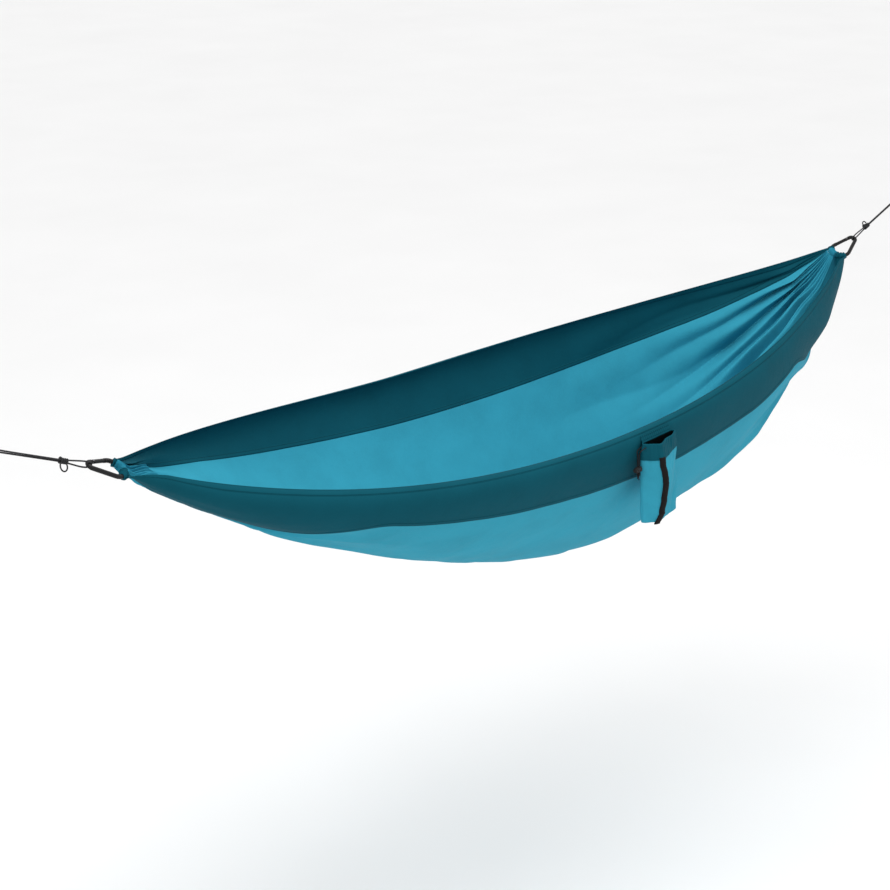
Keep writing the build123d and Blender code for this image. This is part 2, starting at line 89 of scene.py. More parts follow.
HALF = CHORD / 2
SLOPE = math.radians(ROPE_SLOPE)
HOOK_LINE = HOOK_LENGTH - BAR
WIDE_RADIUS = (HOOK_WIDTH - BAR) / 2
MID_X = (ROPE_REACH + HOOK_LINE) * math.cos(SLOPE) + HALF
CHORD_Z = HOOK_BELOW - (ROPE_REACH + HOOK_LINE) * math.sin(SLOPE)


# ---------------------------------------------------------------- materials
def linear(r, g, b):
    """sRGB 0-255 to the linear colour a shader takes."""
    shares = (r / 255, g / 255, b / 255)
    return tuple(c / 12.92 if c <= 0.04045 else ((c + 0.055) / 1.055) ** 2.4 for c in shares) + (1.0,)


class Nodes:
    """A material's node tree with short ways to add and join nodes."""

    def __init__(self, name, roughness, **sockets):
        self.material = bpy.data.materials.new(name)
        self.material.use_nodes = True
        self.tree = self.material.node_tree
        self.shader = self.tree.nodes["Principled BSDF"]
        self.shader.inputs["Roughness"].default_value = roughness
        for key, value in sockets.items():
            self.shader.inputs[key.replace("_", " ")].default_value = value

    def add(self, kind, settings=None):
        node = self.tree.nodes.new(kind)
        for key, value in (settings or {}).items():
            if hasattr(node, key):
                setattr(node, key, value)
            else:
                node.inputs[key].default_value = value
        return node

    def join(self, source, socket):
        self.tree.links.new(source, self.shader.inputs[socket])

    def math(self, operation, a, b=None):
        node = self.tree.nodes.new("ShaderNodeMath")
        node.operation = operation
        for i, value in enumerate((a, b)):
            if value is None:
                continue
            if isinstance(value, (int, float)):
                node.inputs[i].default_value = value
            else:
                self.tree.links.new(value, node.inputs[i])
        return node.outputs[0]

    def coordinates(self, kind="UV"):
        return self.add("ShaderNodeTexCoord").outputs[kind]

    def axes(self, source):
        split = self.add("ShaderNodeSeparateXYZ")
        self.tree.links.new(source, split.inputs[0])
        return split.outputs

    def noise(self, source, scale, detail=3.0, rough=0.55):
        node = self.add("ShaderNodeTexNoise", {"Scale": scale, "Detail": detail, "Roughness": rough})
        self.tree.links.new(source, node.inputs["Vector"])
        return node.outputs["Fac"]

    def ramp(self, source, stops):
        node = self.add("ShaderNodeValToRGB")
        self.tree.links.new(source, node.inputs["Fac"])
        elements = node.color_ramp.elements
        while len(elements) < len(stops):
            elements.new(0.5)
        for element, (position, colour) in zip(elements, stops):
            element.position = position
            element.color = colour
        return node.outputs["Color"]

    def bump(self, height, strength, distance, under=None):
        node = self.add("ShaderNodeBump", {"Strength": strength, "Distance": distance})
        self.tree.links.new(height, node.inputs["Height"])
        if under is not None:
            self.tree.links.new(under, node.inputs["Normal"])
        return node.outputs["Normal"]

    def range(self, source, low, high):
        node = self.add("ShaderNodeMapRange", {"To Min": low, "To Max": high})
        self.tree.links.new(source, node.inputs["Value"])
        return node.outputs["Result"]


def scaled(colour, factor):
    """A colour made darker or lighter."""
    return tuple(c * factor for c in colour[:3]) + (1.0,)


THREAD_TURNS, RIPSTOP_TURNS, STITCH_TURNS = 6283.0, 1047.0, 1571.0    # radians a metre: 1, 6 and 4 mm apart
STITCH_HALF_WIDTH = 0.0007


def nylon(name, colour, stitches=None):
    """Thin coated taffeta. UVs are metres of cloth: u along, v across. stitches: v of each stitch line."""
    m = Nodes(name, 0.62, Sheen_Weight=0.002, Sheen_Roughness=0.4, Specular_IOR_Level=0.02)
    uv = m.coordinates()
    u, v, _ = m.axes(uv)
    solid = m.coordinates("Object")
    patchy = m.noise(solid, 9.0, 4.0)
    fine = m.noise(solid, 260.0, 3.0)
    mixed = m.math("ADD", m.math("MULTIPLY", patchy, 0.75), m.math("MULTIPLY", fine, 0.25))
    tint = m.ramp(mixed, [(0.30, scaled(colour, 0.90)), (0.50, colour), (0.72, scaled(colour, 1.07))])
    threads = m.math("MULTIPLY", m.math("SINE", m.math("MULTIPLY", u, THREAD_TURNS)),
                     m.math("SINE", m.math("MULTIPLY", v, THREAD_TURNS)))
    rip_u = m.math("GREATER_THAN", m.math("COSINE", m.math("MULTIPLY", u, RIPSTOP_TURNS)), 0.985)
    rip_v = m.math("GREATER_THAN", m.math("COSINE", m.math("MULTIPLY", v, RIPSTOP_TURNS)), 0.985)
    weave = m.math("ADD", threads, m.math("MULTIPLY", m.math("MAXIMUM", rip_u, rip_v), 0.8))
    normal = m.bump(weave, 0.10, 0.0003)
    normal = m.bump(m.noise(solid, 38.0, 5.0, 0.6), 0.22, 0.006, normal)
    if stitches:
        marks = None
        for at in stitches:
            line = m.math("LESS_THAN", m.math("ABSOLUTE", m.math("SUBTRACT", v, at)), STITCH_HALF_WIDTH)
            marks = line if marks is None else m.math("MAXIMUM", marks, line)
        dash = m.math("GREATER_THAN", m.math("SINE", m.math("MULTIPLY", u, STITCH_TURNS)), -0.45)
        marks = m.math("MULTIPLY", marks, dash)
        mix = m.add("ShaderNodeMix", {"data_type": "RGBA"})
        m.tree.links.new(marks, mix.inputs["Factor"])
        m.tree.links.new(tint, mix.inputs["A"])
        mix.inputs["B"].default_value = scaled(colour, 0.45)
        tint = mix.outputs["Result"]
        normal = m.bump(marks, 0.5, 0.0006, normal)
    m.join(tint, "Base Color")
    m.join(m.range(patchy, 0.56, 0.70), "Roughness")
    m.join(normal, "Normal")
    return m.material


def braid(name, colour, length, diameter, fleck_and_crown_light=1.4):
    """Braided cord. The curve's own UVs run along its length and round it."""
    m = Nodes(name, 0.75, Sheen_Weight=0.02, Sheen_Roughness=0.5, Specular_IOR_Level=0.12)
    u, v, _ = m.axes(m.coordinates())
    along = m.math("MULTIPLY", u, 2 * math.pi * length / (diameter * 1.3))
    round_ = m.math("MULTIPLY", v, 2 * math.pi * 4)
    one = m.math("SINE", m.math("ADD", along, round_))
    two = m.math("SINE", m.math("SUBTRACT", along, round_))
    strands = m.math("MAXIMUM", one, two)
    fuzz = m.noise(m.coordinates("Object"), 900.0, 2.0)
    # The strand term darkens the colour between strands and lightens it on their crowns: painted shade and
    # highlight. The fuzz noise is the cord's own uneven tone.
    tint = m.ramp(m.math("ADD", m.math("MULTIPLY", strands, 0.30), m.math("MULTIPLY", fuzz, 0.55)),
                  [(0.05, scaled(colour, 0.5)), (0.45, colour), (0.8, scaled(colour, fleck_and_crown_light))])
    m.join(tint, "Base Color")
    m.join(m.bump(fuzz, 0.25, 0.0003, m.bump(strands, 0.9, diameter * 0.12)), "Normal")
    m.join(m.range(fuzz, 0.65, 0.9), "Roughness")
    return m.material


def coated_steel(name, colour):
    """Black coated steel, worn to bright metal in small specks where it rubs."""
    m = Nodes(name, 0.38, Coat_Weight=0.03, Coat_Roughness=0.3, Specular_IOR_Level=0.22)
    solid = m.coordinates("Object")
    grain = m.noise(solid, 1400.0, 2.0)
    cloud = m.noise(solid, 60.0, 4.0)
    worn = m.math("GREATER_THAN", m.noise(solid, 190.0, 6.0, 0.7), 0.70)
    mix = m.add("ShaderNodeMix", {"data_type": "RGBA"})
    m.tree.links.new(worn, mix.inputs["Factor"])
    coat = m.ramp(cloud, [(0.3, scaled(colour, 0.75)), (0.7, scaled(colour, 1.35))])
    m.tree.links.new(coat, mix.inputs["A"])
    mix.inputs["B"].default_value = linear(96, 96, 98)
    m.join(mix.outputs["Result"], "Base Color")
    m.join(m.range(cloud, 0.30, 0.50), "Roughness")
    m.join(m.bump(grain, 0.10, 0.0002), "Normal")
    return m.material


def bare_steel(name, colour):
    """Uncoated steel of the pins and springs."""
    m = Nodes(name, 0.3, Metallic=1.0)
    solid = m.coordinates("Object")
    cloud = m.noise(solid, 120.0, 4.0)
    m.join(m.ramp(cloud, [(0.3, scaled(colour, 0.8)), (0.7, colour)]), "Base Color")
    m.join(m.range(m.noise(solid, 600.0, 2.0), 0.22, 0.42), "Roughness")
    m.join(m.bump(m.noise(solid, 2200.0, 2.0), 0.12, 0.0002), "Normal")
    return m.material


def moulded(name, colour):
    """Fine spark-eroded grain of a moulded cord lock."""
    m = Nodes(name, 0.5, Specular_IOR_Level=0.4)
    solid = m.coordinates("Object")
    grain = m.noise(solid, 1800.0, 3.0)
    cloud = m.noise(solid, 90.0, 3.0)
    m.join(m.ramp(cloud, [(0.3, scaled(colour, 0.8)), (0.7, scaled(colour, 1.2))]), "Base Color")
    m.join(m.range(grain, 0.42, 0.62), "Roughness")
    m.join(m.bump(grain, 0.3, 0.0002), "Normal")
    return m.material


def webbing(name, colour):
    """Flat woven webbing: ribs across, a fine selvedge line each side. UVs are metres."""
    m = Nodes(name, 0.7, Sheen_Weight=0.02, Sheen_Roughness=0.5, Specular_IOR_Level=0.08)
    u, v, _ = m.axes(m.coordinates())
    ribs = m.math("SINE", m.math("MULTIPLY", u, 2 * math.pi / 0.0011))
    twill = m.math("SINE", m.math("ADD", m.math("MULTIPLY", u, 2900.0), m.math("MULTIPLY", v, 4200.0)))
    edge = m.math("GREATER_THAN", m.math("ABSOLUTE", v), STRAP_WIDTH * 0.5)
    woven = m.math("ADD", m.math("MULTIPLY", ribs, 0.6), m.math("MULTIPLY", twill, 0.4))
    height = m.math("ADD", woven, edge)
    fuzz = m.noise(m.coordinates("Object"), 1300.0, 2.0)
    # The rib term darkens the colour in the grooves between ribs and lightens the rib crowns: painted shade
    # and highlight. The fuzz noise is the webbing's own uneven tone.
    m.join(m.ramp(m.math("ADD", m.math("MULTIPLY", ribs, 0.22), fuzz),
                  [(0.2, scaled(colour, 0.6)), (0.55, colour), (0.9, scaled(colour, 1.7))]), "Base Color")
    m.join(m.bump(height, 0.7, 0.0004), "Normal")
    m.join(m.range(fuzz, 0.6, 0.85), "Roughness")
    return m.material


LIGHT_TEAL = linear(52, 148, 172)
DARK_TEAL = linear(14, 76, 90)
HEM_STITCH, SEAM_STITCH = 0.0025, 0.002         # stitch lines in from each edge
light_cloth = nylon("light_teal_nylon", LIGHT_TEAL)
dark_cloth = nylon("dark_teal_nylon", DARK_TEAL)
# The far hem is a lighter copy of the dark cloth: a painted highlight where light catches its rolled edge.
hem_cloth = nylon("dark_teal_hem", scaled(DARK_TEAL, 1.12), (HEM_STITCH, HEM_WIDTH - HEM_STITCH))
seam_cloth = nylon("felled_seam", scaled(DARK_TEAL, 1.02), (SEAM_STITCH, SEAM_WIDTH - SEAM_STITCH))
# The channels are darker copies of the panels' cloths: painted shade in the bunched gather.
channel_light = nylon("light_teal_channel", scaled(LIGHT_TEAL, 0.94))
channel_dark = nylon("dark_teal_channel", scaled(DARK_TEAL, 0.95))
pouch_light = nylon("light_teal_pouch", scaled(LIGHT_TEAL, 0.98))
pouch_dark = nylon("dark_teal_pouch", DARK_TEAL)
# Near-black copy of the dark cloth for the pouch's inner faces: painted shade inside the mouth and body, not
# the cloth's own colour.
painted_inner_shade = nylon("painted_shade_pouch_interior", linear(7, 16, 19))
near_hem_cloth = nylon("near_hem_cloth", DARK_TEAL, (HEM_STITCH, HEM_WIDTH - HEM_STITCH))
flap_cloth = nylon("dark_teal_sewn_edge", DARK_TEAL, (0.011,))
hook_black = coated_steel("black_coated_steel", linear(17, 17, 18))
pin_steel = bare_steel("pin_steel", linear(150, 150, 154))
spring_steel = bare_steel("spring_steel", linear(165, 165, 168))
lock_black = moulded("moulded_black", linear(20, 18, 19))
strap_black = webbing("black_webbing", linear(24, 20, 21))


# ---------------------------------------------------------------- camera, light, floor
def chord_middle():
    """Middle of the chord between the two gathered ends."""
    return Vector((MID_X, 0.0, CHORD_Z))


CAMERA_AZIMUTH, CAMERA_ELEVATION, CAMERA_DISTANCE = 44.84, 19.585, 5.2844
CAMERA_RIGHT, CAMERA_UP = -0.2152, -0.2589      # of the chord's middle, in the picture's plane
CAMERA_FOV = 22.97

a, e = math.radians(CAMERA_AZIMUTH), math.radians(CAMERA_ELEVATION)
forward = Vector((math.sin(a) * math.cos(e), math.cos(a) * math.cos(e), -math.sin(e)))
right = Vector((math.cos(a), -math.sin(a), 0.0))
up = right.cross(forward)
camera = bpy.data.objects.new("camera", bpy.data.cameras.new("camera"))
camera.data.sensor_width = 36.0
camera.data.lens = 18.0 / math.tan(math.radians(CAMERA_FOV) / 2)
camera.data.clip_end = 60.0
camera.location = chord_middle() + right * CAMERA_RIGHT + up * CAMERA_UP - forward * CAMERA_DISTANCE
camera.rotation_mode = "QUATERNION"
camera.rotation_quaternion = forward.to_track_quat("-Z", "Y")
bpy.context.scene.collection.objects.link(camera)
bpy.context.scene.camera = camera

world = bpy.data.worlds.new("studio")
world.use_nodes = True
world.node_tree.nodes["Background"].inputs["Color"].default_value = (1.0, 1.0, 1.0, 1.0)
world.node_tree.nodes["Background"].inputs["Strength"].default_value = 1.0
bpy.context.scene.world = world
bpy.context.scene.view_settings.view_transform = "Standard"


def softbox(name, at, size, power, target):
    """An area light that faces a point."""
    data = bpy.data.lights.new(name, "AREA")
    data.shape = "RECTANGLE"
    data.size, data.size_y = size
    data.energy = power
    lamp = bpy.data.objects.new(name, data)
    lamp.location = at
    lamp.rotation_mode = "QUATERNION"
    lamp.rotation_quaternion = (Vector(target) - Vector(at)).to_track_quat("-Z", "Y")
    bpy.context.scene.collection.objects.link(lamp)


middle = Vector((MID_X, 0.0, CHORD_Z - 0.25))
softbox("overhead", middle + Vector((-0.6, -0.6, 3.0)), (3.0, 2.0), 60.0, middle)

floor_mesh = bpy.data.meshes.new("floor")
FLOOR_REACH, FLOOR_Z = 40.0, -1.6
corners = [(x * FLOOR_REACH, y * FLOOR_REACH, FLOOR_Z) for x, y in ((-1, -1), (1, -1), (1, 1), (-1, 1))]
floor_mesh.from_pydata(corners, [], [(0, 1, 2, 3)])
floor = bpy.data.objects.new("floor", floor_mesh)
floor_paint = Nodes("pale_floor", 0.9)
floor_paint.join(floor_paint.ramp(floor_paint.noise(floor_paint.coordinates("Object"), 1.5, 2.0),
                                  [(0.2, (0.90, 0.90, 0.90, 1)), (0.8, (0.93, 0.93, 0.93, 1))]), "Base Color")
floor_mesh.materials.append(floor_paint.material)
bpy.context.scene.collection.objects.link(floor)
floor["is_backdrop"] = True


# ---------------------------------------------------------------- ropes
class End:
    """One end of the hammock, as in the CAD source."""

    def __init__(self, name):
        self.name = name
        self.towards = -1 if name == "foot" else 1
        roll = math.radians(HOOK_ROLL[name])
        self.along = Vector((self.towards * math.cos(SLOPE), 0, math.sin(SLOPE)))
        lift = Vector((-self.towards * math.sin(SLOPE), 0, math.cos(SLOPE)))
        self.across = Vector((0, math.cos(roll), 0)) + lift * math.sin(roll)
        self.normal = self.along.cross(self.across)
        self.wide = Vector((MID_X + self.towards * HALF, 0, CHORD_Z - HOOK_BELOW))
        self.narrow = self.wide + self.along * HOOK_LINE
        self.arc = self.wide + self.along * WIDE_RADIUS

    def rope_point(self, along, over):
        """A point of the rope's plane, from the hook's narrow end."""
        return self.narrow + self.along * along + self.normal * over


ENDS = {name: End(name) for name in ("foot", "head")}


def nurbs(name, points, diameter, material):
    """A round cord along a list of points."""
    data = bpy.data.curves.new(name, "CURVE")
    data.dimensions = "3D"
    spline = data.splines.new("NURBS")
    spline.points.add(len(points) - 1)
    for point, at in zip(spline.points, points):
        point.co = (*at, 1.0)
    spline.order_u = 3
    spline.use_endpoint_u = True
    spline.resolution_u = 10
    data.bevel_depth = diameter / 2
    data.bevel_resolution = 5
    data.use_fill_caps = True
    data.materials.append(material)
    obj = bpy.data.objects.new(name, data)
    bpy.context.scene.collection.objects.link(obj)
    return obj


def rope_route(end):
    """From the eye knot down one leg, round the hook, up the other leg and round the hanging eye."""
    turn = BAR / 2 + ROPE_GAP + ROPE / 2
    beside = ROPE / 2 + 0.0003
    eye_knot = ROPE_REACH - EYE_HALF_LENGTH - KNOT_LENGTH / 2
    route = (
        (eye_knot, beside + 0.0003), (KNOT_AT + 6 * ROPE, beside), (KNOT_AT, beside),
        (-turn, LOOP_HALF_WIDTH), (-turn, -LOOP_HALF_WIDTH),
        (KNOT_AT, -beside), (KNOT_AT + 6 * ROPE, -beside), (eye_knot, -beside - 0.0003),
        (ROPE_REACH - EYE_HALF_LENGTH * 0.6, -EYE_HALF_WIDTH),
        (ROPE_REACH + EYE_HALF_LENGTH, -EYE_HALF_WIDTH),
        (ROPE_REACH + EYE_HALF_LENGTH, EYE_HALF_WIDTH),
        (ROPE_REACH - EYE_HALF_LENGTH * 0.6, EYE_HALF_WIDTH),
        (eye_knot + KNOT_LENGTH / 3, beside),
    )
    return [end.rope_point(*p) for p in route]


ROPE_GREY = linear(52, 52, 54)
rope_braid = braid("grey_rope_braid", ROPE_GREY, ROPE_LENGTH, ROPE)
knot_braid = braid("grey_knot_braid", ROPE_GREY, 0.10, ROPE)


def knot_around(name, centre, axis, wide, thin, wraps, length, size, material, diameter=ROPE, ear=None):
    """Wraps of the cord round its own two legs, a strand back over them, and an ear of slack."""
    points = []
    for i in range(wraps * 6 + 1):
        t = i / (wraps * 6)
        turn = 2 * math.pi * wraps * t + 0.7
        points.append(centre + axis * length * (t - 0.5)
                      + wide * (size[0] * math.cos(turn)) + thin * (size[1] * math.sin(turn)))
    points = [centre - axis * length * 0.62, *points, centre + axis * length * 0.62]
    coil = nurbs(name, points, diameter, material)
    over = [centre - axis * length * 0.55 + thin * size[1] * 0.6,
            centre - axis * length * 0.35 + thin * size[1] * 1.7 + wide * size[0] * 0.5,
            centre + thin * size[1] * 2.0,
            centre + axis * length * 0.35 + thin * size[1] * 1.7 - wide * size[0] * 0.5,
            centre + axis * length * 0.55 + thin * size[1] * 0.6]
    strand = nurbs(name + "_strand", over, diameter, material)
    made = [coil, strand]
    if ear is not None:
        middle_of = centre + ear * 0.5
        loop = [middle_of + ear * (-0.5 * math.cos(t)) + axis * (0.42 * ear.length * math.sin(t))
                for t in np.linspace(0.15, 2 * math.pi - 0.15, 9)]
        made.append(nurbs(name + "_ear", loop, diameter * 0.9, material))
    return made


for name, end in ENDS.items():
    route = rope_route(end)
    rope = nurbs(name + "_rope_cord", route, ROPE, rope_braid)
    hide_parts(name + "_rope")
    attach(rope, "held_ropes")
    drop = Vector((0, 0, -0.023)) if name == "foot" else Vector((-0.006, 0.008, 0.013))
    eye_knot_at = ROPE_REACH - EYE_HALF_LENGTH - KNOT_LENGTH / 2
    loop_knot = knot_around(name + "_loop_knot_wraps", end.rope_point(KNOT_AT, 0), end.along, end.normal,
                            end.across, 4, 0.019, (0.0056, 0.0050), knot_braid, ear=drop)
    eye_knot = knot_around(name + "_eye_knot_wraps", end.rope_point(eye_knot_at, 0), end.along, end.normal,
                           end.across, 4, 0.018, (0.0052, 0.0044), knot_braid)
    for pieces, node in ((loop_knot, name + "_loop_knot"), (eye_knot, name + "_eye_knot")):
        for piece in pieces:
            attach(piece, "held_ropes")
        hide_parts(node)


# ---------------------------------------------------------------- the bed's surface
def swell(s, powers, skew):
    """A lengthwise curve: 1 at its fullest station, 0 at both ends."""
    shifted = s - skew * (1 - s * s)
    return np.maximum(0.0, 1 - np.abs(shifted) ** powers[0]) ** powers[1]


def traced(s, steps=120):
    """Half cross-sections at an array of stations: points from keel to hem, and widths of sheet to each."""
    s = np.atleast_1d(s)
    half_width = END_HALF_WIDTH + (HALF_WIDTH - END_HALF_WIDTH) * swell(s, WIDTH_POWERS, WIDTH_SKEW)
    hem = HEM_DROP * swell(s, DROP_POWERS, DROP_SKEW)
    keel = END_DEPTH + (KEEL_DEPTH - END_DEPTH) * swell(s, KEEL_POWERS, KEEL_SKEW)
    floor_share = FLOOR_FULLNESS[0] + (FLOOR_FULLNESS[1] - FLOOR_FULLNESS[0]) * s * s
    lean = SIDE_LEAN[0] + (SIDE_LEAN[1] - SIDE_LEAN[0]) * s * s
    poles = np.array([
        [np.zeros_like(s), keel], [floor_share * half_width, keel],
        [(1 + SIDE_BULGE) * half_width, hem + lean * (keel - hem)], [half_width, hem]])
    t = np.linspace(0, 1, steps + 1)
    weights = np.array([(1 - t) ** 3, 3 * t * (1 - t) ** 2, 3 * t * t * (1 - t), t ** 3])
    points = np.einsum("pk,pcs->skc", weights, poles)
    lengths = np.hypot(*np.moveaxis(np.diff(points, axis=1), 2, 0))
    widths = np.concatenate([np.zeros((len(s), 1)), np.cumsum(lengths, axis=1)], axis=1)
    return points, widths


SEAM_DRAWN_TO = 0.14    # share of the gathered half sheet where the near seam lies at the very ends


def near_seam_share(s):
    """Near the ends the light cloth is bunched and the near side panel is drawn out flat over it."""
    return CENTRE_SHARE - (CENTRE_SHARE - SEAM_DRAWN_TO) * smooth(0.60, 0.95, np.abs(s))


def gathered_place(s, across):
    """Where each line of cloth lies on the cross-section, stations by across."""
    share = near_seam_share(s)[:, None]
    near = np.maximum(-across, 0)[None, :]
    inner = np.minimum(near, CENTRE_SHARE) * share / CENTRE_SHARE
    outer = np.maximum(near - CENTRE_SHARE, 0) * (1 - share) / (1 - CENTRE_SHARE)
    return np.where(across[None, :] < 0, -(inner + outer), across[None, :])


def plain_bed(s, across):
    """Mid-surface points, stations by across, with no folds."""
    points, widths = traced(s)
    place = gathered_place(s, across)
    out = np.zeros((len(s), len(across), 3))
    for i in range(len(s)):
        target = np.clip(np.abs(place[i]), 0, 1) * widths[i, -1]
        out[i, :, 0] = MID_X + s[i] * HALF
        out[i, :, 1] = np.sign(across) * np.interp(target, widths[i], points[i, :, 0])
        out[i, :, 2] = CHORD_Z - np.interp(target, widths[i], points[i, :, 1])
    return out, widths[:, -1]


def wander(x, y, seed):
    """Smooth noise in -1..1 on a 64 by 64 lattice."""
    grid = np.random.RandomState(seed).uniform(-1, 1, (64, 64))
    x, y = np.broadcast_arrays(x, y)
    i, j = np.floor(x).astype(int), np.floor(y).astype(int)
    fx, fy = x - i, y - j
    fx, fy = fx * fx * (3 - 2 * fx), fy * fy * (3 - 2 * fy)
    g = lambda p, q: grid[p % 64, q % 64]
    low_row = g(i, j) * (1 - fx) + g(i + 1, j) * fx
    high_row = g(i, j + 1) * (1 - fx) + g(i + 1, j + 1) * fx
    return low_row * (1 - fy) + high_row * fy


def smooth(low, high, x):
    t = np.clip((x - low) / (high - low), 0, 1)
    return t * t * (3 - 2 * t)


GATHERS = 24            # folds across the sheet where it is drawn together
# By end, 1 the head and -1 the foot. Each layer: its share of the gathers, the distances from the end between
# which it fades in, those between which it fades out, and its strength.
FOLD_LAYERS = {
    1: ((1.0, -0.1, 0.0, 0.05, 0.15, 0.75),
        (0.5, 0.03, 0.10, 0.22, 0.62, 0.62),
        (0.27, 0.12, 0.30, 0.45, 0.95, 0.40)),
    -1: ((1.0, -0.1, 0.0, 0.06, 0.17, 1.0),
         (0.5, 0.03, 0.08, 0.16, 0.36, 0.45),
         (0.27, 0.10, 0.20, 0.30, 0.62, 0.20)),
}
BELLY_STEP = 0.012      # towards the head the near side stands out beyond the CAD's sheet, in two such steps
SMOOTH_EDGE = {-1: 0.66, 1: 0.34}      # the hems are drawn tight, so folds fade out towards them


def folds(s, across, girth):
    """How far each point stands out of the plain surface, along its normal."""
    u = (across[None, :] + 1) / 2
    away = (1 - np.abs(s))[:, None]
    excess = np.clip(FLAT_WIDTH / (2 * girth[:, None]), 1.0, 3.4)
    steep = np.sqrt(2 * (excess ** 2 - 1))
    total = np.zeros((len(s), len(across)))
    for side, layers in FOLD_LAYERS.items():
        here = (s[:, None] * side) > 0
        for k, (share, in_low, in_high, out_low, out_high, strength) in enumerate(layers):
            count = GATHERS * share
            drift = 0.60 * wander(u * count * 0.45 + 5 * k, away * 3.0, 11 + k + 7 * (side > 0))
            phase = 2 * math.pi * (count * u + drift) + 1.1 * k
            wave = -np.sqrt(np.sin(phase / 2) ** 2 + 0.012)
            uneven = 1 + 0.55 * wander(u * count * 0.8 + 3, away * 5.0 + 2, 31 + k + 7 * (side > 0))
            reach = out_high * (1 + 0.35 * wander(u * count * 0.7 + 9, away * 0 + 4.5, 51 + k))
            fade = smooth(in_low, in_high, away) * (1 - smooth(out_low, reach, away))
            height = steep * 2 * girth[:, None] / (2 * math.pi * count)
            total += here * 1.9 * strength * fade * uneven * wave * height
    reach = np.where(across < 0, SMOOTH_EDGE[-1], SMOOTH_EDGE[1])
    edge = np.minimum(1, (1 - np.abs(across)) / reach)[None, :]
    edge = edge * edge * (3 - 2 * edge)
    # the near hem ripples a little at the head end
    loose = 0.10 * smooth(0.45, 0.70, s)[:, None] * (across < 0)[None, :]
    total *= loose + (1 - loose) * edge
    belly = BELLY_STEP * smooth(0.30, 0.46, s) + BELLY_STEP * smooth(0.66, 0.86, s)
    belly_across = np.sin(np.pi * np.clip(-across, 0, 1) ** 0.8)
    belly = (belly * (1 - smooth(0.975, 1.0, s)))[:, None] * belly_across[None, :]
    slack = (0.0035 * wander(u * 7, away * 9 + 20 * (s[:, None] > 0), 71)
             + 0.0015 * wander(u * 19, away * 27, 72))
    return total + belly + slack * edge * smooth(0.02, 0.2, away)


def unit(vectors):
    return vectors / np.maximum(np.linalg.norm(vectors, axis=-1, keepdims=True), 1e-12)


def normals_of(points):
    along = np.gradient(points, axis=0)
    over = np.gradient(points, axis=1)
    return unit(np.cross(over, along))


BLEND_FROM = 0.95           # from here to the end the sheet runs onto the sleeve round the carabiner
SHEET_ON_SLEEVE = 0.0098    # from the sleeve's centre line to the sheet
LAST_STATION = 0.9995       # cross-sections are taken no nearer to an end than this


def sleeve_frame(end, across):
    """Centre line of the bunched sleeve and its two directions, at an array of across."""
    theta = np.radians(SLEEVE_SWEEP) * gathered_place(np.ones(1), across)[0]
    along, over, normal = (np.array(v) for v in (end.along, end.across, end.normal))
    radial = -np.cos(theta)[:, None] * along + np.sin(theta)[:, None] * over
    centre = np.array(end.arc) + WIDE_RADIUS * radial
    return centre, radial, normal


def bed_surface(stations, across):
    """Points of the folded sheet, on any grid of stations and across."""
    inner = np.clip(stations, -LAST_STATION, LAST_STATION)
    points, girth = plain_bed(inner, across)
    for side, name in ((-1, "foot"), (1, "head")):
        centre, radial, _ = sleeve_frame(ENDS[name], across)
        target = centre + SHEET_ON_SLEEVE * radial
        share = smooth(BLEND_FROM, 1.0, stations * side)[:, None, None]
        points = points * (1 - share) + target[None] * share
    normal = normals_of(points)
    lift = folds(inner, across, girth)
    lift *= 1 - 0.50 * smooth(0.962, 1.0, np.abs(stations))[:, None]
    return points + normal * lift[:, :, None]


def mesh_object(name, vertices, faces, uvs, materials, material_of=None):
    """A smooth-shaded mesh with one UV a vertex."""
    mesh = bpy.data.meshes.new(name)
    mesh.from_pydata([tuple(v) for v in vertices], [], [tuple(int(i) for i in f) for f in faces])
    for material in materials:
        mesh.materials.append(material)
    layer = mesh.uv_layers.new(name="cloth")
    loops = np.array([i for f in faces for i in f])
    layer.data.foreach_set("uv", np.asarray(uvs, np.float32)[loops].ravel())
    if material_of is not None:
        mesh.polygons.foreach_set("material_index", np.asarray(material_of, np.int32))
    mesh.polygons.foreach_set("use_smooth", [True] * len(faces))
    mesh.update()
    obj = bpy.data.objects.new(name, mesh)
    bpy.context.scene.collection.objects.link(obj)
    return obj


def grid_faces(rows, columns, wrap=False):
    """Quads of a grid of vertices, its last column joined to its first if wrap."""
    i, j = np.meshgrid(np.arange(rows - 1), np.arange(columns if wrap else columns - 1), indexing="ij")
    k = (j + 1) % columns
    corners = [i * columns + j, i * columns + k, (i + 1) * columns + k, (i + 1) * columns + j]
    return np.stack(corners, -1).reshape(-1, 4)


ALONG_STEPS = 170
STATIONS = np.sin(np.linspace(-np.pi / 2, np.pi / 2, 2 * ALONG_STEPS + 1))
CLOTH_STEP = 0.0028                         # between vertices, across the sheet
SEAM_THICK, HEM_THICK = 0.0011, 0.0022


def cloth_uv(stations, across):
    """Metres of flat cloth from its middle."""
    u = stations * FLAT_LENGTH / 2
    return np.stack(np.broadcast_arrays(u[:, None], across[None, :] * FLAT_WIDTH / 2), -1).reshape(-1, 2)


def panel(name, node, low, high, material):
    """The folded sheet between two lines of cloth."""
    count = int((high - low) * FLAT_WIDTH / 2 / CLOTH_STEP) + 1
    across = np.linspace(low, high, count)
    points = bed_surface(STATIONS, across)
    faces = grid_faces(len(STATIONS), count)
    obj = mesh_object(name, points.reshape(-1, 3), faces, cloth_uv(STATIONS, across), [material])
    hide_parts(node)
    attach(obj, "bed")
    return obj


